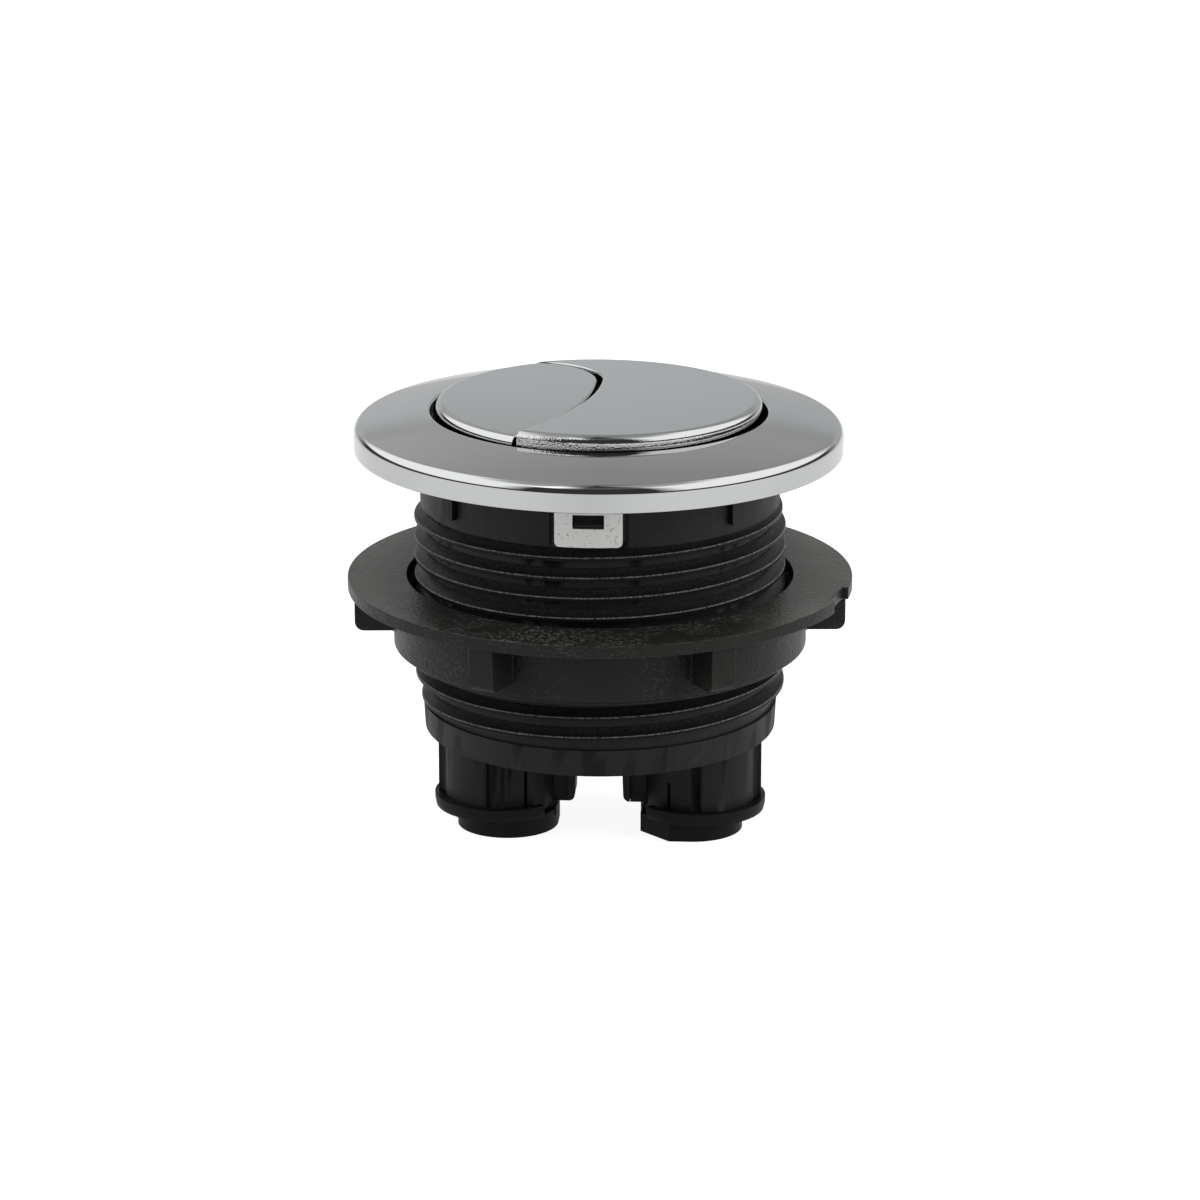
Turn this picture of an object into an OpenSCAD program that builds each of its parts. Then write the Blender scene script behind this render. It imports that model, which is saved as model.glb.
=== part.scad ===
// Dual flush push-button unit for a cistern lid.
// The origin is on the axis, level with the underside of the bezel where it
// sits on the lid. +Z points up, the half flush button is at -X, and the
// bezel's front snap tab is at -Y.

/* [Buttons] */
// Diameter of the round field that the two buttons fill together
button_d = 49; // [46:0.5:52]
// Height of the half flush button's top above the bezel's underside
half_top = 7.4; // [6.8:0.1:8]
// Step from the half flush button up to the full flush button
full_step = 0.7; // [0.3:0.1:1.5]
// Height of the gentle dome on each button
dome_h = 0.2; // [0.1:0.1:0.5]
// Wall of a button's top and skirt
button_wall = 1.5; // [1.2:0.1:1.8]
// How far a button's skirt reaches below the bezel's underside
skirt_depth = 3; // [2:0.5:4]
// Gap between the two buttons
split_gap = 0.8; // [0.5:0.1:1.2]
// Radius of the long sweep of the line between the buttons
sweep_r = 53.5; // [45:0.5:60]
// Radius of the tight end of the line between the buttons
hook_r = 11.8; // [11:0.1:13]
// How far behind the middle the sweep runs into the tight end
hook_y = 9.8; // [8:0.1:10.5]
// How far right of the middle the line between the buttons reaches
split_x = -0.1; // [-1:0.1:1]
// How far the sweep stays inside the tight end where the two meet
sweep_ease = 0.05; // [0.05:0.01:0.1]
// Radius along the top edges of the buttons
button_edge = 0.5; // [0.3:0.1:0.8]
// Travel of a button when it is pushed
travel = 7; // [5:0.5:8]

/* [Bezel] */
// How far the bezel reaches past the thread, over the lid
bezel_overhang = 8.7; // [6:0.1:12]
// Height of the bezel's rim
rim_h = 4.1; // [3.6:0.1:5]
// Width of the rim's seat on the lid
rim_w = 2; // [1.5:0.1:3]
// Rise of the bezel's top from its rim to its opening
bezel_rise = 2; // [1.5:0.1:2.5]
// Wall of the bezel's top
bezel_wall = 1.8; // [1.4:0.1:2]
// Radius along the bezel's outer top edge
rim_edge = 0.8; // [0.5:0.1:1.2]
// Gap round the buttons inside the bezel
opening_gap = 0.8; // [0.5:0.1:1.2]
// Width of a snap tab
tab_w = 9.9; // [8:0.1:12]
// How far a snap tab reaches below the bezel's underside
tab_depth = 7.4; // [6.8:0.1:8]
// Thickness of a snap tab
tab_t = 1.3; // [1:0.1:1.6]
// Width of the window in a snap tab
window_w = 4.6; // [4:0.1:5.5]
// Height of the window in a snap tab
window_h = 2.1; // [1.8:0.1:2.5]

/* [Housing] */
// Gap between the buttons and the housing
guide_gap = 0.6; // [0.4:0.1:0.8]
// Wall of the housing at the bottom of the thread
housing_wall = 1.35; // [1.2:0.05:1.8]
// Wall of the plain band above the thread
band_wall = 2; // [1.8:0.1:2.4]
// Wall of the plain band below the thread
base_wall = 1.8; // [1.5:0.1:2.2]
// Depth of the housing below the bezel's underside
housing_depth = 43; // [40:0.5:50]
// Height of the plain band below the thread
base_band_h = 4; // [3:0.1:6]
// Thickness of the housing's floor
floor_t = 2.2; // [1.5:0.1:3]
// Pitch of the thread
pitch = 2.98; // [2.7:0.02:3.4]
// Depth of the thread
thread_depth = 1.6; // [1.2:0.1:2]
// Width of a thread ridge at its crest
crest_w = 1.2; // [0.8:0.1:1.4]
// Depth of the middle of the thread's first ridge below the bezel's underside
thread_start = 9.7; // [9.4:0.1:12]

/* [Barrels and feet] */
// Distance between the axes of the two barrels
barrel_pitch = 30.4; // [29:0.1:31.5]
// Radius of the bore that guides a plunger
barrel_bore_r = 6.6; // [6:0.1:7]
// Wall of a barrel
barrel_wall = 1.5; // [1.2:0.1:1.8]
// Extra wall on the outer half of a barrel
sleeve_t = 0.6; // [0.4:0.1:0.8]
// How far a barrel reaches below the housing's floor
barrel_drop = 13.2; // [11:0.1:16]
// How far a barrel's upper end stands below the bezel's underside
barrel_top_depth = 24.4; // [22:0.1:28]
// Width of the slits in a barrel
slit_w = 0.5; // [0.4:0.1:0.9]
// Height of the shorter slit in a barrel
short_slit_h = 5.5; // [4:0.5:8]
// Height of the collar of a foot
collar_h = 1.9; // [1.7:0.1:2.4]
// Wall of the collar of a foot
collar_wall = 1.2; // [1:0.1:1.4]
// Radius of the round pad under a foot
pad_r = 7.75; // [7:0.05:8]
// How far the pad stands towards the middle from its barrel's axis
pad_offset = 1.05; // [0.8:0.05:1.4]
// Height of the pad
pad_h = 3; // [2.5:0.1:4]
// Radius of the socket for a push rod
socket_r = 2.6; // [2.1:0.1:2.8]
// Depth of the socket for a push rod
socket_depth = 14; // [10:0.5:18]

/* [Plungers and springs] */
// Wall of a plunger's tube
plunger_wall = 1.5; // [1.2:0.1:1.7]
// Gap between a plunger and its barrel
plunger_gap = 0.3; // [0.25:0.05:0.4]
// Thickness of the flange that the spring pushes on
flange_t = 1.4; // [1:0.1:2]
// Diameter of the spring's wire
wire_d = 1; // [0.8:0.1:1.1]
// Turns of a spring
spring_turns = 7; // [5:0.5:8]

/* [Lock nut] */
// Distance from the bezel's underside to the nut as it stands
clamp_gap = 19.3; // [14:0.1:22]
// Turn of the nut as it stands
nut_turn = 4; // [0:0.5:60]
// Gap between the nut and the thread's crests
thread_gap = 0.35; // [0.3:0.05:0.5]
// Gap round the thread in the nut's flange
flange_gap = 1.2; // [0.6:0.1:1.4]
// Wall of the nut's skirt
skirt_wall = 2.9; // [2.4:0.1:3.5]
// Width of the nut's flange outside its skirt
flange_w = 6.9; // [5:0.1:9]
// Thickness of the nut's flange
nut_flange_t = 1.9; // [1.6:0.1:2.6]
// Height of the nut's skirt below its flange
skirt_h = 8.7; // [7.5:0.1:10]
// Height of the thin lip inside the end of the skirt
nut_lip_h = 1; // [0.6:0.1:1.4]
// Angle of the slanting ribs under the nut's flange from the front and back
nut_rib_angle = 28.4; // [24:0.2:36]
// Thickness of a rib under the nut's flange
nut_rib_t = 4; // [3:0.1:4.5]
// Height of a rib under the nut's flange
nut_rib_h = 6.9; // [5:0.1:7.2]
// Length of the notch in the nut's rim
notch_l = 7.3; // [4:0.1:8]
// Depth of the notch in the nut's rim
notch_d = 1.1; // [0.8:0.1:1.8]

/* [Hidden] */
$fn = 96;
eps = 0.01;
big = 200;
arc_steps = 6;

chrome = [0.80, 0.81, 0.82];
black_plastic = [0.13, 0.13, 0.13];
nut_plastic = [0.17, 0.17, 0.16];
spring_steel = [0.62, 0.63, 0.65];

// Radii that follow from one another, from the buttons outwards
button_r = button_d / 2;
opening_r = button_r + opening_gap;
bore_r = button_r + guide_gap;
root_r = bore_r + housing_wall;
crest_r = root_r + thread_depth;
band_r = bore_r + band_wall;
base_r = bore_r + base_wall;
bezel_r = crest_r + bezel_overhang;

// The bezel's top and what hangs under it
bezel_top = rim_h + bezel_rise;
lip_h = 2.3;
lip_edge = 0.4;
bezel_crown = 0.3;
seat_fit = 0.1;
tab_r = band_r + seat_fit;
tab_outer_r = tab_r + tab_t;
tab_corner = 0.7;
window_rail = 2.8;
window_sill = tab_depth - window_rail;
collar_lift = 0.4;
shell_gap = 0.2;

// The housing's levels
housing_top = bezel_top - lip_h - shell_gap;
floor_z = -housing_depth;
floor_top = floor_z + floor_t;
valley_w = 0.1;
ridge_w = pitch - valley_w;
thread_top = -thread_start + ridge_w / 2;
thread_bottom = floor_z + base_band_h;
ridge_count = floor((thread_top - thread_bottom) / pitch);
run_in_h = (band_r - root_r) / 2;
catch_gap = 0.25;
catch_reach = tab_t - 0.1;
catch_root = 0.5;
catch_nose = 0.3;
guide_rib_t = 1.3;
guide_rib_h = 0.5;
guide_rib_depth = 6.5;
tab_side_angle = 13.3;
side_rib_angle = 50;
side_rib_t = 2.5;
stop_rib_t = 1.5;
stop_clearance = 0.3;
web_t = 1.6;
web_h = 10;

// The barrels
barrel_x = barrel_pitch / 2;
barrel_r = barrel_bore_r + barrel_wall;
sleeve_r = barrel_r + sleeve_t;
barrel_end = floor_z - barrel_drop;
barrel_top = -barrel_top_depth;
sleeve_start = 93.5;
sleeve_stop = 259.5;
slit_angle = 58;
side_rib_reach = 0.85;
side_rib_gap = 0.1;
side_rib_w = 2;
lug_inner_x = 3.3;
lug_draft = 0.4;
lug_t = 1.4;
lug_w = 5;
lug_web_t = 1.4;
lug_drop = barrel_drop - 0.8;
lug_web_drop = barrel_drop - 0.2;
lug_corner = 1;

// The feet
foot_gap = 0.3;
outer_end_step = 0.8;
outer_end = barrel_end + outer_end_step;
foot_floor = outer_end - foot_gap;
collar_floor_t = 0.8;
collar_inner_r = sleeve_r + foot_gap;
collar_r = collar_inner_r + collar_wall;
collar_taper = 0.2;
collar_bottom = foot_floor - collar_floor_t;
collar_top = collar_bottom + collar_h;
collar_front = -45;
collar_back = 41;
step_clearance = 4;
keeper_r = barrel_r + foot_gap;
keeper_t = 0.5;
keeper_angle = 16;
keeper_floor_t = 1;
keeper_top = floor_z - lug_web_drop - foot_gap;
pad_gap = 0.6;
pad_top = barrel_end - pad_gap;
pad_bottom = pad_top - pad_h;
pad_corner = pad_r * tan(22.5);
hub_gap = 0.05;
hub_cap = 2;
hub_ridge_drop = 3;
hub_edge = 0.5;

// The plungers
plunger_r = barrel_bore_r - plunger_gap;
plunger_inner_r = plunger_r - plunger_wall;
hub_r = plunger_inner_r - hub_gap;
hub_top = pad_bottom + socket_depth + hub_cap;
bead = 0.25;
ridge_z = hub_top - hub_ridge_drop;
tube_bottom = foot_floor + 0.1;
flange_r = barrel_r + 0.2;
flange_top = -skirt_depth - 0.2;
flange_bottom = flange_top - flange_t;
neck_top = half_top - button_wall - 1.1;
neck_fit = 0.05;
groove_w = 0.4;
groove_mouth = 1.8;
cross_wall_top = flange_top - 4;
boss_wall = 1.6;
bead_w = 1.2;
boss_r = plunger_r + neck_fit + boss_wall;
under_rib_t = 1.2;
under_rib_h = 3;

// The springs
spring_gap = 0.1;
spring_offset = 0.3;
spring_r = (plunger_r + barrel_r) / 2 + spring_offset;
spring_low = barrel_top + spring_gap;
spring_high = flange_bottom - spring_gap;

// The lock nut
nut_top = -clamp_gap;
nut_bore_r = crest_r + thread_gap;
nut_hole_r = crest_r + flange_gap;
skirt_r = nut_bore_r + skirt_wall;
nut_r = skirt_r + flange_w;
nut_under = nut_top - nut_flange_t;
skirt_bottom = nut_under - skirt_h;
nut_lip_r = nut_bore_r + 1.6;
nut_hole_t = 1;
nut_rib_inset = 1;
nut_rib_corner = 1.4;
nut_rib_root = 0.5;
notch_angle = -19.3;

// Points along an arc about [cx, cy], from angle a0 to a1
function arc(cx, cy, r, a0, a1, n = arc_steps) =
  [for (i = [0:n]) let (a = a0 + (a1 - a0) * i / n) [cx + r * cos(a), cy + r * sin(a)]];

// Points of a shallow crown from p to q that rises by h in its middle
function crown(p, q, h, n = 4) =
  [for (i = [1:n - 1]) let (s = i / n) p + (q - p) * s + [0, 4 * h * s * (1 - s)]];

module ring(r_out, r_in, z_low, z_high) {
  translate([0, 0, z_low]) difference() {
    cylinder(h = z_high - z_low, r = r_out);
    translate([0, 0, -eps]) cylinder(h = z_high - z_low + 2 * eps, r = r_in);
  }
}

module box(x0, x1, y0, y1, z0, z1) {
  translate([x0, y0, z0]) cube([x1 - x0, y1 - y0, z1 - z0]);
}

// Both ends of the unit are alike when it is turned by half a turn
module both_ways() {
  children();
  rotate([0, 0, 180]) children();
}

// The bezel: a cast ring with a crowned top and two snap tabs
module bezel() {
  color(chrome) union() {
    rotate_extrude() polygon(bezel_section());
    both_ways() snap_tab();
  }
}

function bezel_section() = let (
    rim_top = [bezel_r - rim_edge, rim_h],
    lip_top = [opening_r + lip_edge, bezel_top],
    lip_bottom = bezel_top - lip_h,
    under_rim = rim_h - bezel_wall
  ) concat(
    [[bezel_r - rim_w, 0], [bezel_r, 0]],
    arc(bezel_r - rim_edge, rim_h - rim_edge, rim_edge, 0, 90),
    crown(rim_top, lip_top, bezel_crown),
    arc(opening_r + lip_edge, bezel_top - lip_edge, lip_edge, 90, 180, 4),
    [[opening_r, lip_bottom], [tab_r, lip_bottom], [tab_r, collar_lift],
     [tab_outer_r, collar_lift], [tab_outer_r, lip_bottom], [bezel_r - rim_w, under_rim]]
  );

module snap_tab() {
  lip_bottom = bezel_top - lip_h;
  intersection() {
    rotate([90, 0, 0]) linear_extrude(height = big) difference() {
      polygon(concat(
        arc(-tab_w / 2 + tab_corner, -tab_depth + tab_corner, tab_corner, 180, 270, 4),
        arc(tab_w / 2 - tab_corner, -tab_depth + tab_corner, tab_corner, 270, 360, 4),
        [[tab_w / 2, lip_bottom], [-tab_w / 2, lip_bottom]]));
      translate([-window_w / 2, -window_sill]) square([window_w, window_h]);
    }
    ring(tab_outer_r, tab_r, -tab_depth - 1, lip_bottom);
  }
}

// The housing: a threaded cup with two barrels through its floor
module housing() {
  color(black_plastic) difference() {
    union() {
      rotate_extrude() polygon(housing_section());
      stop_ribs();
      web();
      both_ways() {
        barrel();
        snap_catch();
        guide_ribs();
      }
    }
    both_ways() barrel_cuts();
  }
}

// One ridge of the thread, which is cut as plain rings
function ridge(i) = let (z = -thread_start - i * pitch) [
    [root_r, z + ridge_w / 2], [crest_r, z + crest_w / 2],
    [crest_r, z - crest_w / 2], [root_r, z - ridge_w / 2]];

function housing_section() = concat(
    [[bore_r, housing_top], [band_r, housing_top], [band_r, thread_top + run_in_h]],
    [for (i = [0:ridge_count - 1]) for (p = ridge(i)) p],
    [[root_r, thread_bottom], [base_r, thread_bottom], [base_r, floor_z], [0, floor_z],
     [0, floor_top], [bore_r, floor_top]]
  );

// Ribs inside the cup that a fully pushed button comes down to
module stop_ribs() {
  rib_top = -skirt_depth - travel - stop_clearance;
  for (a = [45, 135, 225, 315]) rotate([0, 0, a])
    box(button_r - button_wall, bore_r + eps, -stop_rib_t / 2, stop_rib_t / 2, floor_top - eps, rib_top);
}

// Web that joins the barrels to each other and to the cup
module web() {
  box(-bore_r - eps, bore_r + eps, -web_t / 2, web_t / 2, floor_top - eps, floor_top + web_h);
}

// A barrel at -X, with its thicker outer half, side rib and guide lug
module barrel() {
  translate([-barrel_x, 0, 0]) {
    translate([0, 0, barrel_end]) cylinder(h = barrel_top - barrel_end, r = barrel_r);
    translate([0, 0, barrel_end])
      rotate_extrude(angle = sleeve_stop - sleeve_start, start = sleeve_start)
        square([sleeve_r, floor_z - barrel_end + eps]);
    box(-sleeve_r - side_rib_reach, -barrel_r, -side_rib_w / 2, side_rib_w / 2,
        collar_top + side_rib_gap, floor_z + eps);
  }
  lug();
}

// Guide lug beside the barrel: a rounded plate on a thin web
module lug() {
  bottom = floor_z - lug_drop;
  box(-barrel_x + barrel_r - 0.5, -lug_inner_x - lug_t + eps, -lug_web_t / 2, lug_web_t / 2,
      floor_z - lug_web_drop, floor_z + eps);
  translate([0, lug_w / 2, 0]) rotate([90, 0, 0]) linear_extrude(height = lug_w)
    polygon(concat(
      [[-lug_inner_x - lug_t, floor_z + eps], [-lug_inner_x - lug_t, bottom]],
      arc(-lug_inner_x - lug_draft - lug_corner, bottom + lug_corner, lug_corner, 270, 360, 4),
      [[-lug_inner_x, floor_z + eps]]));
}

module barrel_cuts() {
  translate([-barrel_x, 0, 0]) {
    translate([0, 0, barrel_end - 1]) cylinder(h = barrel_top - barrel_end + 2, r = barrel_bore_r);
    // The outer part ends a step higher, on the collar's floor
    translate([0, 0, barrel_end - 1]) sector(collar_back - step_clearance, collar_front + step_clearance,
                                            sleeve_r + 1, outer_end - barrel_end + 1);
    rotate([0, 0, -slit_angle]) slit(floor_z);
    rotate([0, 0, slit_angle]) slit(barrel_end + short_slit_h);
  }
}

module slit(top) {
  box(barrel_bore_r - 0.5, barrel_r + 0.5, -slit_w / 2, slit_w / 2, barrel_end - 1, top);
}

// Catch that the front snap tab's window clips over
module snap_catch() {
  low = -window_sill + catch_gap;
  high = -window_sill + window_h - catch_gap;
  w = window_w - 2 * catch_gap;
  translate([-w / 2, 0, 0]) rotate([90, 0, 90]) linear_extrude(height = w)
    polygon([[-band_r + catch_root, high], [-band_r - catch_nose, high],
             [-band_r - catch_reach, low + catch_nose], [-band_r - catch_reach, low],
             [-band_r + catch_root, low]]);
}

module guide_ribs() {
  for (a = [-tab_side_angle, tab_side_angle]) rotate([0, 0, a])
    guide_rib(guide_rib_t);
  for (a = [-side_rib_angle, side_rib_angle]) rotate([0, 0, a])
    guide_rib(side_rib_t);
}

module guide_rib(t) {
  box(-t / 2, t / 2, -band_r - guide_rib_h, -root_r + housing_wall / 2, -guide_rib_depth, 0);
}

// The field of the half flush button, to a height and grown by an amount
// A flare above zero spreads the top edge out, and one below zero rounds it in
module half_field(grow, low, high, flare) {
  hook_x = split_x - hook_r;
  translate([hook_x, hook_y, 0]) post(hook_r + grow, low, high, flare);
  intersection() {
    translate([split_x - sweep_r, hook_y, 0]) post(sweep_r + grow - sweep_ease, low, high, flare);
    translate([-big, -big + hook_y, low - 1]) cube([2 * big, big, high - low + 3]);
  }
  box(-big, hook_x, hook_y - 1, hook_y + hook_r + grow, low, flare > 0 ? high + 1 : high);
}

module post(r, low, high, flare) {
  e = abs(flare);
  rotate_extrude() polygon(flare > 0
    ? concat([[0, low], [r, low]], arc(r + e, high - e, e, 180, 90, 4), [[r + e, high + 1], [0, high + 1]])
    : concat([[0, low], [r, low]], e > 0 ? arc(r - e, high - e, e, 0, 90, 4) : [[r, high]], [[0, high]]));
}

// The round field of both buttons, with a rounded rim and a gentle dome
module round_field(r, low, high) {
  rotate_extrude() polygon(concat([[0, low], [r, low]],
    arc(r - button_edge, high - button_edge, button_edge, 0, 90),
    [for (i = [1:4]) let (s = 1 - i / 4) [(r - button_edge) * s, high + dome_h * (1 - s * s)]]));
}

module button_boss(low, high) {
  ring(boss_r, plunger_r + neck_fit, low, high);
  rotate_extrude() polygon([[plunger_r + bead_w / 2, -bead_w / 2], [plunger_r + neck_fit - bead, 0],
                            [plunger_r + bead_w / 2, bead_w / 2]]);
}

// Ribs that tie a button's boss to its skirt
module under_ribs(x, high) {
  box(-big, big, -under_rib_t / 2, under_rib_t / 2, high - under_rib_h, high + eps);
  box(x - under_rib_t / 2, x + under_rib_t / 2, -big, big, high - under_rib_h, high + eps);
}

module half_button() {
  under = half_top - button_wall;
  color(chrome) {
    difference() {
      intersection() {
        round_field(button_r, -skirt_depth, half_top);
        half_field(-split_gap, -skirt_depth - 1, half_top + dome_h, -button_edge);
      }
      intersection() {
        translate([0, 0, -skirt_depth - 1])
          cylinder(h = under + skirt_depth + 1, r = button_r - button_wall);
        half_field(-split_gap - button_wall, -skirt_depth - 2, under + 1, 0);
      }
    }
    translate([-barrel_x, 0, 0]) button_boss(-skirt_depth, under + eps);
    difference() {
      intersection() {
        under_ribs(-barrel_x, under);
        cylinder(h = big, r = button_r - 1);
        half_field(-split_gap - 1, -1, big, 0);
      }
      translate([-barrel_x, 0, -1]) cylinder(h = under + 0.5, r = boss_r - 0.5);
    }
  }
}

module full_button() {
  top = half_top + full_step;
  under = top - button_wall;
  color(chrome) {
    difference() {
      round_field(button_r, -skirt_depth, top);
      half_field(0, -skirt_depth - 1, top + dome_h, button_edge);
      difference() {
        translate([0, 0, -skirt_depth - 1])
          cylinder(h = under + skirt_depth + 1, r = button_r - button_wall);
        half_field(button_wall, -skirt_depth - 2, top + 1, 0);
      }
    }
    translate([barrel_x, 0, 0]) button_boss(-skirt_depth, under + eps);
    difference() {
      intersection() {
        under_ribs(barrel_x, under);
        cylinder(h = big, r = button_r - 1);
      }
      half_field(1, -1, big, 0);
      translate([barrel_x, 0, -1]) cylinder(h = under + 0.5, r = boss_r - 0.5);
    }
  }
}

// A plunger on its own axis: clip neck, spring flange and long hollow tube
module plunger() {
  groove_r = plunger_r - bead - neck_fit;
  rotate_extrude() polygon([
    [plunger_inner_r, tube_bottom], [plunger_r, tube_bottom],
    [plunger_r, flange_bottom], [flange_r, flange_bottom], [flange_r, flange_top],
    [plunger_r, flange_top], [plunger_r, -groove_mouth / 2], [groove_r, -groove_w / 2],
    [groove_r, groove_w / 2], [plunger_r, groove_mouth / 2], [plunger_r, neck_top],
    [plunger_inner_r, neck_top], [plunger_inner_r, cross_wall_top],
    [0, cross_wall_top], [0, cross_wall_top - plunger_wall],
    [plunger_inner_r, cross_wall_top - plunger_wall],
    [plunger_inner_r, ridge_z + 2 * bead], [plunger_inner_r + bead, ridge_z],
    [plunger_inner_r, ridge_z - 2 * bead]]);
}

module half_plunger() {
  color(black_plastic) translate([-barrel_x, 0, 0]) plunger();
}

module full_plunger() {
  color(black_plastic) translate([barrel_x, 0, 0]) plunger();
}

// A slice of a cylinder from one angle round the -X side to another
module sector(back, front, r, h) {
  rotate_extrude(angle = 360 - back + front, start = back) square([r, h]);
}

// A foot at -X: a collar round the barrel's end, a pad and a socketed hub
module foot() {
  difference() {
    union() {
      translate([-barrel_x, 0, 0]) {
        collar();
        keeper();
        hub();
      }
      translate([pad_offset - barrel_x, 0, 0]) pad();
    }
    translate([-barrel_x, 0, pad_bottom - 1]) cylinder(h = socket_depth + 1, r = socket_r);
  }
}

// The collar spans the barrel's outer part and rises round its end
module collar() {
  bottom = collar_r - collar_taper;
  rotate_extrude(angle = 360 - collar_back + collar_front, start = collar_back) polygon([
    [0, pad_top - eps], [pad_r - pad_offset - eps, pad_top - eps], [pad_r - pad_offset - eps, collar_bottom],
    [bottom, collar_bottom], [collar_r, collar_bottom + 1], [collar_r, collar_top],
    [collar_inner_r, collar_top], [collar_inner_r, foot_floor], [0, foot_floor]]);
}

// Low wall beside the barrel's inner side, under its guide lug
module keeper() {
  rotate_extrude(angle = 2 * keeper_angle, start = -keeper_angle) polygon([
    [hub_r, pad_top - keeper_floor_t], [keeper_r + keeper_t, pad_top - keeper_floor_t],
    [keeper_r + keeper_t, keeper_top], [keeper_r, keeper_top], [keeper_r, pad_top], [hub_r, pad_top]]);
}

// Stem that clips into the plunger and takes the push rod
module hub() {
  rotate_extrude() polygon([
    [0, pad_top - eps], [hub_r, pad_top - eps], [hub_r, ridge_z - 2 * bead], [hub_r + bead, ridge_z],
    [hub_r, ridge_z + 2 * bead], [hub_r, hub_top - hub_edge], [hub_r - hub_edge, hub_top], [0, hub_top]]);
}

// Round pad with one square corner, and its flat side at 45 degrees
module pad() {
  translate([0, 0, pad_bottom]) {
    cylinder(h = pad_top - pad_bottom, r = pad_r);
    linear_extrude(height = pad_top - pad_bottom)
      polygon([[0, 0], [pad_r, 0], [pad_r, pad_corner], [pad_corner, pad_r], [0, pad_r]]);
  }
}

module half_foot() {
  color(black_plastic) foot();
}

module full_foot() {
  color(black_plastic) rotate([0, 0, 180]) foot();
}

// A compression spring: a tube swept along a helix with flat end turns
wire_sides = 6;
turn_steps = 20;
function spring_z(t) = let (
    dead = wire_d,
    rise = spring_high - spring_low - 3 * wire_d,
    live = spring_turns - 2,
    u = t - 1
  ) spring_low + wire_d / 2 + (t < 1 ? dead * t
    : t > spring_turns - 1 ? dead + rise + dead * (t - spring_turns + 1)
    : dead + rise * u / live);

module spring() {
  n = spring_turns * turn_steps;
  points = [for (i = [0:n]) let (t = i / turn_steps, a = 360 * t)
            for (j = [0:wire_sides - 1]) let (b = 360 * j / wire_sides, r = spring_r + wire_d / 2 * cos(b))
            [r * cos(a), r * sin(a), spring_z(t) + wire_d / 2 * sin(b)]];
  walls = [for (i = [0:n - 1]) for (j = [0:wire_sides - 1])
           let (a = wire_sides * i + j, b = wire_sides * i + (j + 1) % wire_sides)
           for (f = [[a, a + wire_sides, b], [b, a + wire_sides, b + wire_sides]]) f];
  polyhedron(points = points, faces = concat(
    [[for (j = [0:wire_sides - 1]) j]], walls,
    [[for (j = [wire_sides - 1:-1:0]) wire_sides * n + j]]), convexity = 10);
}

module half_spring() {
  color(spring_steel) translate([-barrel_x, 0, 0]) spring();
}

module full_spring() {
  color(spring_steel) translate([barrel_x, 0, 0]) spring();
}

// The lock nut: a flange on a short skirt, with ribs between the two
module lock_nut() {
  color(nut_plastic) rotate([0, 0, nut_turn]) difference() {
    union() {
      rotate_extrude() polygon([
        [nut_hole_r, nut_top], [nut_r, nut_top], [nut_r, nut_under], [skirt_r, nut_under],
        [skirt_r, skirt_bottom], [nut_lip_r, skirt_bottom], [nut_lip_r, skirt_bottom - nut_lip_h],
        [nut_bore_r, skirt_bottom - nut_lip_h], [nut_bore_r, nut_under - nut_hole_t],
        [nut_hole_r, nut_under]]);
      both_ways() for (a = [-90 - nut_rib_angle, -90 + nut_rib_angle, 0]) rotate([0, 0, a]) nut_rib();
    }
    rotate([0, 0, notch_angle])
      box(nut_r - notch_d, nut_r + 1, -notch_l / 2, notch_l / 2, nut_under - 1, nut_top + 1);
  }
}

module nut_rib() {
  reach = nut_r - nut_rib_inset;
  translate([0, nut_rib_t / 2, 0]) rotate([90, 0, 0]) linear_extrude(height = nut_rib_t)
    polygon(concat(
      [[skirt_r - nut_rib_root, nut_under + eps], [skirt_r - nut_rib_root, nut_under - nut_rib_h]],
      arc(reach - nut_rib_corner, nut_under - nut_rib_h + nut_rib_corner, nut_rib_corner, 270, 360),
      [[reach, nut_under + eps]]));
}

bezel();
housing();
lock_nut();
half_button();
full_button();
half_plunger();
full_plunger();
half_spring();
full_spring();
half_foot();
full_foot();
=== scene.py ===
import math

import bmesh
import bpy
from mathutils import Matrix, Vector


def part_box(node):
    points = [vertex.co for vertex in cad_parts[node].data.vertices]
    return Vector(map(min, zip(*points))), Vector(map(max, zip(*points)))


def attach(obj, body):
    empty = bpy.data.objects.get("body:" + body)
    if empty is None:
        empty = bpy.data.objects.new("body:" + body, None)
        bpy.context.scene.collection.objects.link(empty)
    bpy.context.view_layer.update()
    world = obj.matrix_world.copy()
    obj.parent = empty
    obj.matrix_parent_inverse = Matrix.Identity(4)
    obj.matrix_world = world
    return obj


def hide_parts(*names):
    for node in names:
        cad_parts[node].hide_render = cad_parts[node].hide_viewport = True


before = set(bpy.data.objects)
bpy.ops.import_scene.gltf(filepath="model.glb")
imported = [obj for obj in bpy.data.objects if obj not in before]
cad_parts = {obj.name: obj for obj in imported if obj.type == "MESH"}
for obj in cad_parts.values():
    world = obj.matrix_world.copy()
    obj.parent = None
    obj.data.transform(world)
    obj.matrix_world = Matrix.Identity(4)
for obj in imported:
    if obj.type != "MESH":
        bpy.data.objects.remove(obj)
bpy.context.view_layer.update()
MM = 0.001


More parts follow.
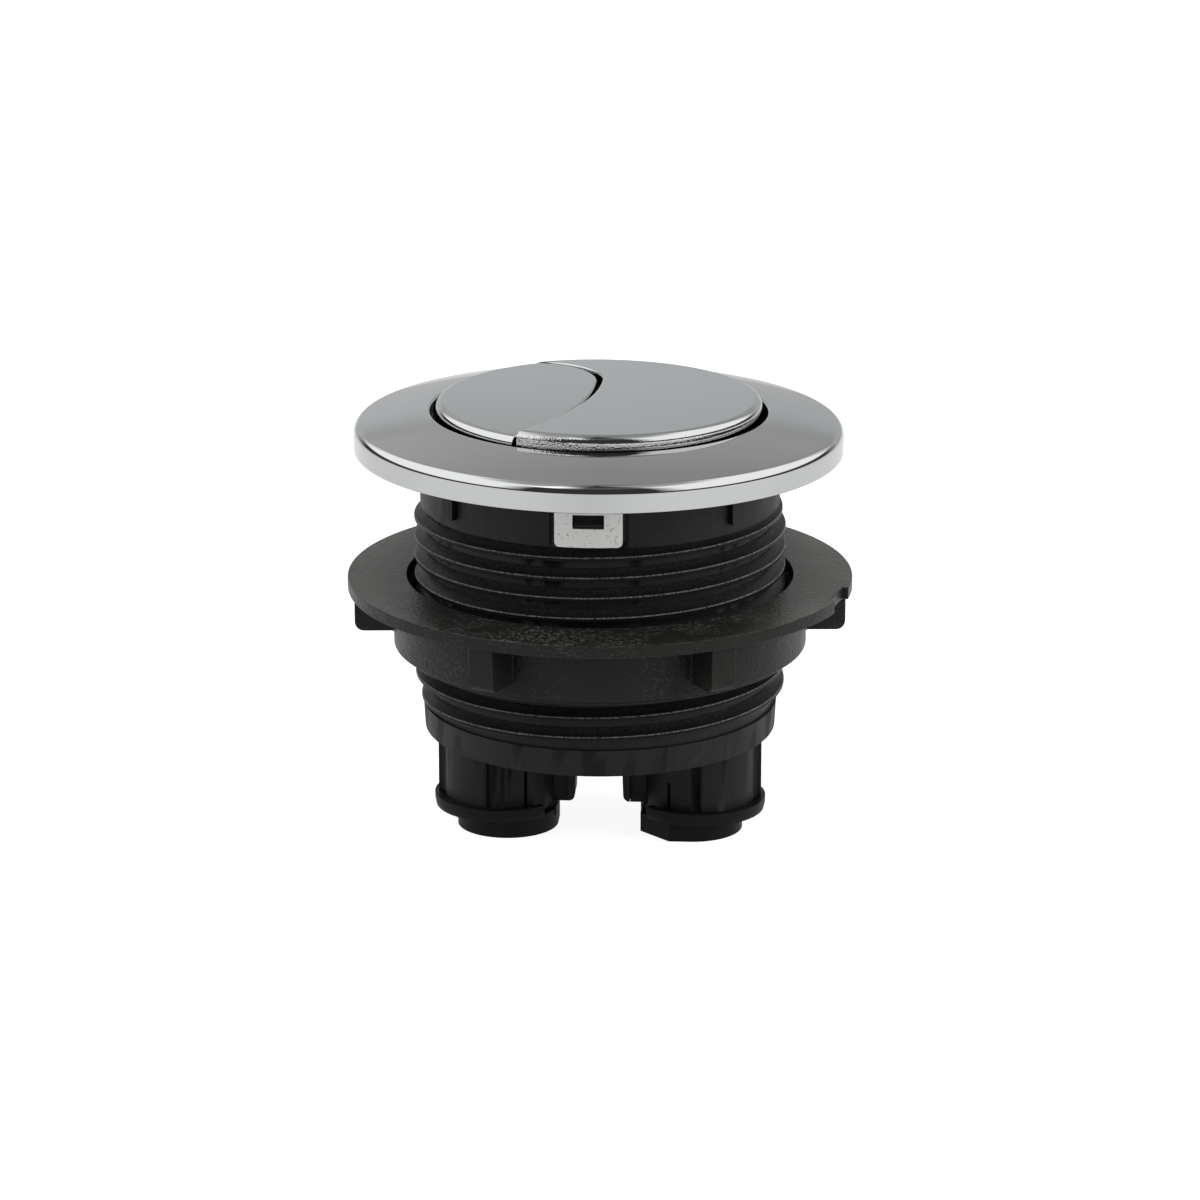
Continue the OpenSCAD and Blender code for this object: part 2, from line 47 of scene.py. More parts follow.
# Levels and radii of the unit in mm, as in the CAD model
RIM_R, RIM_FOOT_W = 36.75, 2.0
OPENING_R = 25.3
BUTTON_R, BUTTON_WALL, SKIRT_BOTTOM = 24.5, 1.5, -3.0
HALF_TOP, FULL_TOP, DOME = 7.45, 8.03, 0.2
HALF_LEAN, FULL_LEAN = 0.3, -0.15
FIELD_EDGE_R, SPLIT_EDGE_R, WALL_FROM = 1.2, 0.35, 5.2
SPLIT_GAP, BACK_GAP = 0.8, 0.3
TOP_SHIFT, TOP_TILT = -0.2, 0.35
HOOK_X, HOOK_Y, HOOK_R = -11.9, 9.8, 11.8
SWEEP_X, SWEEP_R = -53.6, 53.45
BARREL_X, SLEEVE_R = 15.2, 8.7
FOOT_TAPER = 0.008
BOSS_R, BOSS_BORE_R = 7.95, 6.35
ROOT_R, CREST_R, BAND_R = 26.45, 28.05, 27.1
THREAD_TOP, THREAD_BOTTOM = -8.26, -39.0
PITCH, CREST_W, UPPER_FLANK, LOWER_FLANK = 3.05, 0.6, 1.08, 0.35
RIDGE_FRONT, RIDGE_FRONT_ANGLE, RIDGE_LEFT_OFF, RIDGE_PAST_FRONT = -9.36, 273.45, 246, 137
TAB_CUT = 0.45


# Mesh work

def corner(bm, x, z):
    """A corner of a section that is still flat, x from the axis and z up, in mm."""
    return bm.verts.new((x * MM, 0, z * MM))


def section(bm, points, closed=True):
    """Joins the corners of a section with straight lines."""
    corners = [corner(bm, x, z) for x, z in points]
    for first, second in zip(corners, corners[1:]):
        bm.edges.new((first, second))
    if closed:
        bm.edges.new((corners[-1], corners[0]))
    return corners


def round_off(bm, vert, reach, segments):
    """Rounds one corner of a flat section."""
    bmesh.ops.bevel(bm, geom=[vert], offset=reach * MM, offset_type="OFFSET", segments=segments, profile=0.5,
                    affect="VERTICES", clamp_overlap=True, material=-1)


def round_edges(bm, edges, reach, segments):
    """Rounds edges of a solid, and gives back the faces of the rounding."""
    return bmesh.ops.bevel(bm, geom=edges, offset=reach * MM, offset_type="OFFSET", segments=segments,
                           profile=0.5, affect="EDGES", clamp_overlap=True, material=-1)["faces"]


def turn_full(bm, steps):
    """Turns the section right round the axis."""
    bmesh.ops.spin(bm, geom=bm.verts[:] + bm.edges[:], cent=(0, 0, 0), axis=(0, 0, 1), dvec=(0, 0, 0),
                   angle=math.tau, steps=steps, use_merge=True)
    bmesh.ops.remove_doubles(bm, verts=bm.verts, dist=1e-7)
    bmesh.ops.recalc_face_normals(bm, faces=bm.faces)


def cut(bm, place, direction, keep_below=True):
    """Cuts the mesh by a plane and drops what lies past it."""
    bmesh.ops.bisect_plane(bm, geom=bm.verts[:] + bm.edges[:] + bm.faces[:], dist=1e-7, plane_co=place,
                           plane_no=direction, clear_outer=keep_below, clear_inner=not keep_below)


def radius(vert):
    return math.hypot(vert.co.x, vert.co.y) / MM


def mesh_object(bm, name):
    mesh = bpy.data.meshes.new(name)
    bm.to_mesh(mesh)
    bm.free()
    made = bpy.data.objects.new(name, mesh)
    bpy.context.scene.collection.objects.link(made)
    return made


def finish_piece(bm, name, body, materials, replaces=(), crease=32):
    """Puts a finished mesh in the scene, on its body, with its materials."""
    made = mesh_object(bm, name)
    for polygon in made.data.polygons:
        polygon.use_smooth = True
    made.data.set_sharp_from_angle(angle=math.radians(crease))
    shading = made.modifiers.new("even_shading", "WEIGHTED_NORMAL")
    shading.keep_sharp = True
    for material in materials:
        made.data.materials.append(material)
    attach(made, body)
    if replaces:
        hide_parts(*replaces)
    return made


def moulded_copy(name):
    """A CAD solid as one welded mesh of its triangles."""
    bm = bmesh.new()
    bm.from_mesh(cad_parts[name].data)
    bmesh.ops.remove_doubles(bm, verts=bm.verts, dist=1e-6)
    return bm


def flatten(bm):
    """Makes one face of the triangles that lie in one plane."""
    bmesh.ops.dissolve_limit(bm, angle_limit=math.radians(0.08), verts=bm.verts, edges=bm.edges)


def soften(bm, reach, sharp=35, segments=2):
    """Rounds every sharp edge a little, and marks the middle of each rounding as rubbed, partly wear and partly
    painted edge highlight.
    """
    flatten(bm)
    edges = [e for e in bm.edges if len(e.link_faces) == 2 and e.calc_face_angle(0) > math.radians(sharp)]
    mark_rub_and_glint(bm, round_edges(bm, edges, reach, segments))


def mark_rub_and_glint(bm, faces):
    # The mark stands partly for rubbed wear and partly for a painted highlight along the edge.
    worn_and_lit = bm.verts.layers.float.get("worn_and_lit") or bm.verts.layers.float.new("worn_and_lit")
    rounding = set(faces)
    for face in faces:
        for vert in face.verts:
            if all(near in rounding for near in vert.link_faces) and outer_corner(vert):
                vert[worn_and_lit] = 1.0


def outer_corner(vert):
    """True where no edge at the vertex is hollow, so that it gets the rub mark, which is partly painted edge
    highlight.
    """
    return all(edge.calc_face_angle_signed(0) > -0.01 for edge in vert.link_edges)


# Bezel

def seat_top(bm):
    """The bezel and the buttons sit a little off the housing's axis and lean with the play of the snap tabs."""
    bmesh.ops.rotate(bm, verts=bm.verts, cent=(0, 0, 0), matrix=Matrix.Rotation(math.radians(TOP_TILT), 3, "Y"))
    bmesh.ops.translate(bm, verts=bm.verts, vec=(TOP_SHIFT * MM, 0, 0))


def bezel_ring():
    """A crowned cast ring: rolled outer edge, thin lip at the opening, hollow underside."""
    bm = bmesh.new()
    lip, crown, rim, foot = (OPENING_R, 6.13), (31.2, 5.36), (RIM_R, 3.93), (RIM_R, 0.0)
    corners = section(bm, [
        (OPENING_R, 3.8), lip, crown, rim, foot, (RIM_R - RIM_FOOT_W, 0.0), (RIM_R - RIM_FOOT_W, 2.3),
        (28.5, 3.8), (28.5, 0.4), (27.2, 0.4), (27.2, 3.8)])
    round_off(bm, corners[1], 0.45, 8)
    round_off(bm, corners[2], 4.4, 18)
    round_off(bm, corners[3], 1.16, 18)
    round_off(bm, corners[4], 0.25, 4)
    round_off(bm, corners[5], 0.25, 3)
    turn_full(bm, 288)
    seat_top(bm)
    return finish_piece(bm, "bezel_ring", "body", [CHROME], replaces=["bezel"])


def snap_tabs():
    """The two tabs of the bezel, cast with it but left dull."""
    bm = moulded_copy("bezel")
    cut(bm, (0, 0, TAB_CUT * MM), (0, 0, 1))
    bmesh.ops.delete(bm, geom=[v for v in bm.verts if radius(v) > 30], context="VERTS")
    bmesh.ops.holes_fill(bm, edges=[e for e in bm.edges if e.is_boundary], sides=0)
    bmesh.ops.recalc_face_normals(bm, faces=bm.faces)
    soften(bm, 0.12, sharp=30)
    return finish_piece(bm, "bezel_snap_tabs", "body", [DULL_PLATE], replaces=["bezel"])


# Buttons

def swing(bm, x, y, r, start, stop, steps):
    """A row of vertices along an arc, from one angle to another in degrees."""
    a = math.radians(start)
    first = bm.verts.new(((x + r * math.cos(a)) * MM, (y + r * math.sin(a)) * MM, 0))
    bmesh.ops.spin(bm, geom=[first], cent=(x * MM, y * MM, 0), axis=(0, 0, 1), dvec=(0, 0, 0),
                   angle=math.radians(stop - start), steps=steps, use_merge=False)


def meeting(x, y, r, field_r, back):
    """Where a circle about x, y meets the round field, at its back or its front."""
    away = math.hypot(x, y)
    along = (field_r ** 2 - r ** 2 + away ** 2) / (2 * away)
    aside = math.sqrt(field_r ** 2 - along ** 2)
    spots = [((along * x - side * aside * y) / away, (along * y + side * aside * x) / away) for side in (-1, 1)]
    return max(spots, key=lambda spot: spot[1]) if back else min(spots, key=lambda spot: spot[1])


def bearing(x, y):
    return math.degrees(math.atan2(y, x))


def half_outline(bm, field_inset, split_inset):
    """Outline of the smaller button: its share of the round field, and the line along the split."""
    field_r = BUTTON_R - field_inset
    hook_r, sweep_r = HOOK_R - SPLIT_GAP - split_inset, SWEEP_R - SPLIT_GAP - split_inset
    hook_y = HOOK_Y + SPLIT_GAP - BACK_GAP
    back = meeting(HOOK_X, hook_y, hook_r, field_r, back=True)
    front = meeting(SWEEP_X, HOOK_Y, sweep_r, field_r, back=False)
    swing(bm, 0, 0, field_r, bearing(*back), bearing(*front) + 360, 108)
    swing(bm, SWEEP_X, HOOK_Y, sweep_r, bearing(front[0] - SWEEP_X, front[1] - HOOK_Y), 0, 74)
    swing(bm, HOOK_X, hook_y, hook_r, 0, bearing(back[0] - HOOK_X, back[1] - hook_y), 40)


def full_outline(bm, field_inset, split_inset):
    """Outline of the larger button: what the smaller one leaves of the round field, down to a thin tail."""
    field_r, hook_r, sweep_r = BUTTON_R - field_inset, HOOK_R + split_inset, SWEEP_R + split_inset
    tail = meeting(HOOK_X, HOOK_Y, hook_r, field_r, back=True)
    front = meeting(SWEEP_X, HOOK_Y, sweep_r, field_r, back=False)
    swing(bm, 0, 0, field_r, bearing(*front), bearing(*tail), 204)
    swing(bm, HOOK_X, HOOK_Y, hook_r, bearing(tail[0] - HOOK_X, tail[1] - HOOK_Y), 0, 48)
    swing(bm, SWEEP_X, HOOK_Y, sweep_r, 0, bearing(front[0] - SWEEP_X, front[1] - HOOK_Y), 74)


def outline_at(bm, outline, field_inset, split_inset, z):
    """Draws an outline at one level, welded end to end, and gives back its edges."""
    flat = bmesh.new()
    outline(flat, field_inset, split_inset)
    bmesh.ops.remove_doubles(flat, verts=flat.verts, dist=0.01 * MM)
    loose = [v for v in flat.verts if len(v.link_edges) == 1]
    while len(loose) > 1:
        end = loose.pop()
        near = min(loose, key=lambda v: (v.co - end.co).length)
        loose.remove(near)
        flat.edges.new((end, near))
    bmesh.ops.translate(flat, verts=flat.verts, vec=(0, 0, z * MM))
    drawn = bpy.data.meshes.new("outline")
    flat.to_mesh(drawn)
    flat.free()
    done = len(bm.edges)
    bm.from_mesh(drawn)
    bpy.data.meshes.remove(drawn)
    bm.edges.ensure_lookup_table()
    return bm.edges[done:]


def rolled_edge(edge_r, top, z):
    """How far a wall has come in at one level, where its upper edge is rolled to a radius."""
    rise = max(0.0, z - (top - edge_r))
    return edge_r - math.sqrt(max(0.0, edge_r ** 2 - rise ** 2))


def raise_wall(bm, outline, levels):
    """A wall through outlines at several levels, closed by a flat lid. Gives back its lowest edges."""
    loops = [outline_at(bm, outline, *level) for level in levels]
    for lower, upper in zip(loops, loops[1:]):
        bmesh.ops.bridge_loops(bm, edges=lower + upper)
    bmesh.ops.contextual_create(bm, geom=loops[-1])
    return loops[0]


def button_shell(outline, top, lean, ripple, boss_x, arms):
    """A hollow button with rolled top edges and a gently domed top, and a boss on ribs under it."""
    bm = bmesh.new()
    heights = {top - edge_r * (1 - math.sin(math.radians(90 * k / steps)))
               for edge_r, steps in ((FIELD_EDGE_R, 13), (SPLIT_EDGE_R, 5)) for k in range(steps + 1)}
    rolling = [(rolled_edge(FIELD_EDGE_R, top, z), rolled_edge(SPLIT_EDGE_R, top, z), z) for z in sorted(heights)]
    outer = raise_wall(bm, outline, [(0, 0, SKIRT_BOTTOM), (0, 0, WALL_FROM)] + rolling)
    inner = raise_wall(bm, outline, [(BUTTON_WALL, BUTTON_WALL, SKIRT_BOTTOM),
                                     (BUTTON_WALL, BUTTON_WALL, top - BUTTON_WALL)])
    bmesh.ops.triangle_fill(bm, use_beauty=True, use_dissolve=False, edges=outer + inner, normal=(0, 0, -1))
    bmesh.ops.recalc_face_normals(bm, faces=bm.faces)
    crown_button(bm, max(bm.faces, key=lambda f: f.calc_center_median().z), top, lean, ripple)
    under = top - BUTTON_WALL + 0.05
    button_boss(bm, boss_x, under)
    for x0, x1, y0, y1 in arms:
        bar(bm, x0, x1, y0, y1, under - 3, under)
    seat_top(bm)
    return bm


def button_boss(bm, x, high):
    """The tube under a button that clips round the plunger's neck."""
    ring = [bm.verts.new(((x + r) * MM, 0, z * MM)) for r, z in
            ((BOSS_BORE_R, SKIRT_BOTTOM), (BOSS_R, SKIRT_BOTTOM), (BOSS_R, high), (BOSS_BORE_R, high))]
    edges = [bm.edges.new((ring[i - 1], ring[i])) for i in range(4)]
    spun = bmesh.ops.spin(bm, geom=ring + edges, cent=(x * MM, 0, 0), axis=(0, 0, 1), dvec=(0, 0, 0),
                          angle=math.tau, steps=64, use_merge=True)
    near = [v for v in bm.verts if math.hypot(v.co.x - x * MM, v.co.y) < (BOSS_R + 0.01) * MM]
    bmesh.ops.remove_doubles(bm, verts=[v for v in near if v.is_valid], dist=1e-7)
    bmesh.ops.recalc_face_normals(bm, faces=[f for f in bm.faces if all(
        BOSS_BORE_R - 0.01 < math.hypot(v.co.x / MM - x, v.co.y / MM) < BOSS_R + 0.01 for v in f.verts)
        and any(v.co.z < 0 for v in f.verts)])


def bar(bm, x0, x1, y0, y1, z0, z1):
    """A straight rib between two opposite corners, in mm."""
    size = Matrix.Diagonal(((x1 - x0) * MM, (y1 - y0) * MM, (z1 - z0) * MM, 1))
    middle = Matrix.Translation(((x0 + x1) / 2 * MM, (y0 + y1) / 2 * MM, (z0 + z1) / 2 * MM))
    bmesh.ops.create_cube(bm, size=1, matrix=middle @ size)


def crown_button(bm, lid, top, lean, ripple):
    """Lifts the top into a low dome that leans a little, on a grid of cuts that carries its shading. The wall
    above the opening is marked, because its plating is rippled, the more so towards the left."""
    parts = [lid]
    for axis in (0, 1):
        normal = Vector((1 - axis, axis, 0))
        for k in range(-12, 13):
            geom = set(parts)
            for face in parts:
                geom.update(face.edges, face.verts)
            result = bmesh.ops.bisect_plane(bm, geom=list(geom), dist=1e-7, plane_co=normal * (k * 2 + 0.3) * MM,
                                            plane_no=normal)
            parts = list({f for f in result["geom"] if isinstance(f, bmesh.types.BMFace)} | set(parts))
            parts = [f for f in parts if f.is_valid and f.normal.z > 0.999]
    rippled = bm.verts.layers.float.new("rippled")
    for vert in bm.verts:
        height = vert.co.z / MM
        if WALL_FROM - 0.1 < height < top - 0.5:
            vert[rippled] = ripple * min(1.0, max(0.2, 0.6 - vert.co.x / MM / 10))
        if height > WALL_FROM + 0.1 and height > top - BUTTON_WALL + 0.01:
            share = min(1.0, radius(vert) / BUTTON_R)
            flat = max(0.0, 1 - (top - height) / FIELD_EDGE_R)
            vert.co.z += (flat * DOME * (1 - share * share) + lean * vert.co.y / MM / BUTTON_R) * MM


def half_button():
    bm = button_shell(half_outline, HALF_TOP, HALF_LEAN, 0.08, -BARREL_X, [
        (-7.4, -3.2, -0.6, 0.6), (-BARREL_X - 0.6, -BARREL_X + 0.6, 7.8, 17.4),
        (-BARREL_X - 0.6, -BARREL_X + 0.6, -17.4, -7.8)])
    return finish_piece(bm, "half_button_cap", "half_press", [CHROME], replaces=["half_button"])


def full_button():
    bm = button_shell(full_outline, FULL_TOP, FULL_LEAN, 1.0, BARREL_X, [
        (0.3, 7.4, -0.6, 0.6), (BARREL_X - 0.6, BARREL_X + 0.6, 7.8, 17.4),
        (BARREL_X - 0.6, BARREL_X + 0.6, -17.4, -7.8)])
    return finish_piece(bm, "full_button_cap", "full_press", [CHROME], replaces=["full_button"])


# Housing

def housing_body():
    """The moulded body, with the plain rings of its thread taken off and its edges softened."""
    bm = moulded_copy("housing")
    low, high = (THREAD_BOTTOM - 0.01) * MM, (THREAD_TOP + 0.01) * MM
    rings = [f for f in bm.faces if all(low < v.co.z < high and radius(v) > ROOT_R - 0.05 for v in f.verts)]
    bmesh.ops.delete(bm, geom=rings, context="FACES")
    foot_edge = [e for e in bm.edges if e.is_boundary and abs(e.verts[0].co.z - THREAD_BOTTOM * MM) < 1e-5]
    ledge = bmesh.ops.extrude_edge_only(bm, edges=foot_edge)["geom"]
    for vert in [v for v in ledge if isinstance(v, bmesh.types.BMVert)]:
        inward = ROOT_R / radius(vert)
        vert.co.x *= inward
        vert.co.y *= inward
    bmesh.ops.bridge_loops(bm, edges=[e for e in bm.edges if e.is_boundary])
    bmesh.ops.recalc_face_normals(bm, faces=bm.faces)
    flatten(bm)
    foot = [e for e in bm.edges if len(e.link_faces) == 2 and all(abs(v.co.z + 6.5 * MM) < 1e-5 for v in e.verts)
            and abs(radius(e.verts[0]) - radius(e.verts[1])) > 0.3 and min(radius(v) for v in e.verts) > 26.9]
    round_edges(bm, foot, 0.6, 4)
    for vert in bm.verts:
        if abs(vert.co.x) < 10 * MM and -6.6 < vert.co.z / MM < -5.85 and radius(vert) > BAND_R - 0.03:
            vert.co.z -= 1.1 * MM
        elif abs(vert.co.x) > 12 * MM and vert.co.z > -6.6 * MM and radius(vert) > BAND_R + 0.3:
            vert.co.x *= 1 + 0.4 / BAND_R
            vert.co.y *= 1 + 0.4 / BAND_R
    sleeve = [e for e in bm.edges if len(e.link_faces) == 2 and e.calc_face_angle(0) > 0.6 and all(
        abs(math.hypot(abs(v.co.x) / MM - BARREL_X, v.co.y / MM) - SLEEVE_R) < 0.03 for v in e.verts)
        and abs(e.verts[0].co.z - e.verts[1].co.z) > 5 * MM]
    round_edges(bm, sleeve, 0.35, 4)
    for vert in bm.verts:
        if vert.co.z < THREAD_BOTTOM * MM and radius(vert) > ROOT_R:
            slim = 1 - FOOT_TAPER * (THREAD_BOTTOM - vert.co.z / MM) / 4
            vert.co.x *= slim
            vert.co.y *= slim
    soften(bm, 0.12)
    return finish_piece(bm, "housing_body", "body", [BODY_BLACK], replaces=["housing"])


def thread_ridge():
    """One right-handed ridge that winds up the body, sinks into the plain band above and into the root below."""
    bm = bmesh.new()
    upper, lower = CREST_W / 2 + UPPER_FLANK, -CREST_W / 2 - LOWER_FLANK
    corners = section(bm, [
        (ROOT_R - 0.25, upper), (ROOT_R + 0.12, upper), (CREST_R, CREST_W / 2), (CREST_R, -CREST_W / 2),
        (ROOT_R, lower), (ROOT_R - 0.25, lower)])
    round_off(bm, corners[1], 0.08, 2)
    round_off(bm, corners[2], 0.16, 3)
    round_off(bm, corners[3], 0.16, 3)
    start = RIDGE_FRONT_ANGLE - 10 * 360
    start_z = RIDGE_FRONT - 10 * PITCH
    steps = 120
    bmesh.ops.rotate(bm, verts=bm.verts, cent=(0, 0, 0), matrix=Matrix.Rotation(math.radians(start), 3, "Z"))
    bmesh.ops.translate(bm, verts=bm.verts, vec=(0, 0, start_z * MM))
    bmesh.ops.spin(bm, geom=bm.verts[:] + bm.edges[:], cent=(0, 0, 0), axis=(0, 0, 1),
                   dvec=(0, 0, PITCH / steps * MM), angle=math.tau, steps=steps, use_merge=False)
    turn = bm.verts[:] + bm.edges[:] + bm.faces[:]
    for k in range(1, 11):
        copied = bmesh.ops.duplicate(bm, geom=turn)["geom"]
        bmesh.ops.translate(bm, verts=[v for v in copied if isinstance(v, bmesh.types.BMVert)],
                            vec=(0, 0, k * PITCH * MM))
    bmesh.ops.remove_doubles(bm, verts=bm.verts, dist=1e-6)
    worn_and_lit = bm.verts.layers.float.new("worn_and_lit")
    surplus = []
    for vert in bm.verts:
        round_here = (math.degrees(math.atan2(vert.co.y, vert.co.x)) - start) / 360
        turns = round((vert.co.z / MM - start_z) / PITCH - round_here) + round_here
        from_low_end = turns * 360 - RIDGE_LEFT_OFF
        from_top_end = 10 * 360 + RIDGE_PAST_FRONT - turns * 360
        offset = vert.co.z / MM - start_z - turns * PITCH
        out = radius(vert) - (ROOT_R - 0.25)
        if from_low_end < -1 or from_top_end < -1:
            surplus.append(vert)
        # Painted highlight: the upper crest edge gets the full mark, where the top light catches it, and the lower
        # crest edge and the top of the flank only a faint one, so that the light fades up the flank; part of it
        # stands for rubbed wear.
        if 0.01 < CREST_R - radius(vert) < 0.1:
            vert[worn_and_lit] = 1.0 if offset > 0 else 0.15
        elif offset > upper - 0.1 and radius(vert) > ROOT_R + 0.05:
            vert[worn_and_lit] = 0.15
        height = min(sink(from_top_end / 90, 0.35), sink(from_low_end / 60, 0.1))
        scale = (ROOT_R - 0.25 + out * height) / (ROOT_R - 0.25 + out)
        vert.co.x *= scale
        vert.co.y *= scale
    bmesh.ops.delete(bm, geom=surplus, context="VERTS")
    bmesh.ops.holes_fill(bm, edges=[e for e in bm.edges if e.is_boundary], sides=0)
    bmesh.ops.recalc_face_normals(bm, faces=bm.faces)
    return finish_piece(bm, "housing_thread", "body", [THREAD_BLACK], replaces=["housing"], crease=60)


def sink(share, least):
    share = min(1.0, max(0.0, share))
    return least + (1 - least) * share * share * (3 - 2 * share)


# Nut and feet

def lock_nut():
    bm = moulded_copy("lock_nut")
    soften(bm, 0.18)
    return finish_piece(bm, "lock_nut_moulding", "nut", [NUT_BLACK], replaces=["lock_nut"])


def foot(name, body):
    bm = moulded_copy(name)
    soften(bm, 0.15)
    return finish_piece(bm, name + "_moulding", body, [FOOT_BLACK], replaces=[name])


# Shader helpers

def node(tree, kind, inputs=None, **settings):
    """Adds a shader node, sets its properties, and its inputs from values or from other sockets."""
    made = tree.nodes.new(kind)
    for name, value in settings.items():
        setattr(made, name, value)
    for name, value in (inputs or {}).items():
        socket = made.inputs[name]
        if isinstance(value, bpy.types.NodeSocket):
            tree.links.new(value, socket)
        else:
            socket.default_value = value
    return made


def maths(tree, operation, a, b=0.0, c=0.0, clamp=False):
    made = node(tree, "ShaderNodeMath", {0: a, 1: b, 2: c}, operation=operation, use_clamp=clamp)
    return made.outputs[0]


def ramp(tree, fac, stops):
    made = node(tree, "ShaderNodeValToRGB", {"Fac": fac})
    elements = made.color_ramp.elements
    while len(elements) < len(stops):
        elements.new(0.5)
    for element, (place, *level) in zip(elements, stops):
        element.position = place
        element.color = (*(level * 3)[:3], 1)
    return made.outputs["Color"]


def effect(name, inputs, outputs):
    """A shared effect: a node group with named number inputs and outputs."""
    group = bpy.data.node_groups.new(name, "ShaderNodeTree")
    for label, value in inputs:
        socket = group.interface.new_socket(name=label, in_out="INPUT", socket_type="NodeSocketFloat")
        socket.default_value = value
    for label in outputs:
        group.interface.new_socket(name=label, in_out="OUTPUT", socket_type="NodeSocketFloat")
    entry = group.nodes.new("NodeGroupInput")
    exit_node = group.nodes.new("NodeGroupOutput")
    return group, entry.outputs, exit_node.inputs


def use(tree, group, **inputs):
    named = {label.replace("_", " "): value for label, value in inputs.items()}
    made = tree.nodes.new("ShaderNodeGroup")
    made.node_tree = group
    for label, value in named.items():
        if isinstance(value, bpy.types.NodeSocket):
            tree.links.new(value, made.inputs[label])
        else:
            made.inputs[label].default_value = value
    return made.outputs


def stretched_place(tree, across, along):
    """Object coordinates, closed up or stretched along the height."""
    place = node(tree, "ShaderNodeTexCoord").outputs["Object"]
    return node(tree, "ShaderNodeMapping", {"Vector": place, "Scale": (across, across, along)}).outputs[0]


def moulded_grain():
    """Fine bumps of moulded plastic, with a slower mottle over them."""
    group, given, out = effect("moulded_grain", [("Grain Size", 3000.0), ("Mottle Size", 260.0)],
                               ["Height", "Mottle"])
    place = node(group, "ShaderNodeTexCoord").outputs["Object"]
    fine = node(group, "ShaderNodeTexNoise", {"Vector": place, "Scale": given["Grain Size"], "Detail": 2.0})
    slow = node(group, "ShaderNodeTexNoise", {"Vector": place, "Scale": given["Mottle Size"], "Detail": 4.0,
                                              "Roughness": 0.6})
    group.links.new(fine.outputs[0], out["Height"])
    group.links.new(slow.outputs[0], out["Mottle"])
    return group


def draw_marks():
    """Faint upright streaks, as a mould leaves them on a wall that is drawn out of it."""
    group, given, out = effect("draw_marks", [("Fineness", 1400.0)], ["Streak"])
    place = stretched_place(group, 1.0, 0.05)
    streak = node(group, "ShaderNodeTexNoise", {"Vector": place, "Scale": given["Fineness"], "Detail": 3.0,
                                                "Roughness": 0.7})
    group.links.new(streak.outputs[0], out["Streak"])
    return group


def rubbed_and_glinting_edges():
    """Broken light lines along rubbed edges, partly wear and partly painted edge highlight, from the mark on the
    mesh.
    """
    group, given, out = effect("rubbed_and_glinting_edges", [("Amount", 0.7), ("Breakup", 900.0)], ["Rub"])
    mark = node(group, "ShaderNodeAttribute", attribute_name="worn_and_lit").outputs["Fac"]
    place = node(group, "ShaderNodeTexCoord").outputs["Object"]
    patch = node(group, "ShaderNodeTexNoise", {"Vector": place, "Scale": given["Breakup"], "Detail": 3.0})
    broken = maths(group, "MULTIPLY_ADD", patch.outputs[0], 3.0, -0.9, clamp=True)
    rub_and_glint = maths(group, "MULTIPLY", maths(group, "MULTIPLY", mark, broken), given["Amount"], clamp=True)
    group.links.new(rub_and_glint, out["Rub"])
    return group


def metal_ripple():
    """Slow unevenness of a polished and plated surface."""
    group, given, out = effect("metal_ripple", [("Size", 130.0)], ["Height"])
    place = node(group, "ShaderNodeTexCoord").outputs["Object"]
    wave = node(group, "ShaderNodeTexNoise", {"Vector": place, "Scale": given["Size"], "Detail": 1.5})
    group.links.new(wave.outputs[0], out["Height"])
    return group


def scuff_marks():
    """Sparse short scratches and scraped patches from handling."""
    group, given, out = effect("scuff_marks", [("Scale", 900.0), ("Amount", 0.3)], ["Scuff"])
    place = node(group, "ShaderNodeTexCoord").outputs["Object"]
    long_way = node(group, "ShaderNodeMapping", {"Vector": place, "Scale": (0.6, 1.0, 1.0)}).outputs[0]
    scratch = node(group, "ShaderNodeTexNoise", {"Vector": long_way, "Scale": given["Scale"], "Detail": 5.0,
                                                 "Roughness": 0.7})
    patch = node(group, "ShaderNodeTexNoise", {"Vector": place, "Scale": 90.0, "Detail": 3.0})
    lines = maths(group, "MULTIPLY_ADD", scratch.outputs[0], 7.0, -3.6, clamp=True)
    where = maths(group, "MULTIPLY_ADD", patch.outputs[0], 5.0, -2.1, clamp=True)
    scuff = maths(group, "MULTIPLY", maths(group, "MULTIPLY", lines, where), given["Amount"], clamp=True)
    group.links.new(scuff, out["Scuff"])
    return group


GRAIN, STREAKS, RUB_AND_GLINT, RIPPLE, SCUFFS = moulded_grain(), draw_marks(), rubbed_and_glinting_edges(), metal_ripple(), scuff_marks()


def surface(name, colour, metallic, rough, shine=0.5):
    material = bpy.data.materials.new(name)
    material.use_nodes = True
    shader = material.node_tree.nodes["Principled BSDF"]
    shader.inputs["Base Color"].default_value = (*colour, 1)
    shader.inputs["Metallic"].default_value = metallic
    shader.inputs["Roughness"].default_value = rough
    shader.inputs["Specular IOR Level"].default_value = shine
    return material, material.node_tree, shader


def bump(tree, shader, height, distance, strength=1.0):
    made = node(tree, "ShaderNodeBump", {"Height": height, "Distance": distance * MM, "Strength": strength})
    tree.links.new(made.outputs["Normal"], shader.inputs["Normal"])


def chrome():
    material, tree, shader = surface("mirror_chrome", (0.56, 0.565, 0.57), 1.0, 0.05)
    ripple = use(tree, RIPPLE, Size=130.0)
    beads = use(tree, RIPPLE, Size=3800.0)
    wall = node(tree, "ShaderNodeAttribute", attribute_name="rippled").outputs["Fac"]
    height = maths(tree, "MULTIPLY_ADD", maths(tree, "MULTIPLY", wall, beads["Height"]), 12.0, ripple["Height"])
    bump(tree, shader, height, 0.004)
    grain = use(tree, GRAIN, Grain_Size=2500.0, Mottle_Size=180.0)
    rough = maths(tree, "MULTIPLY_ADD", grain["Mottle"], 0.04, 0.015)
    tree.links.new(rough, shader.inputs["Roughness"])
    return material


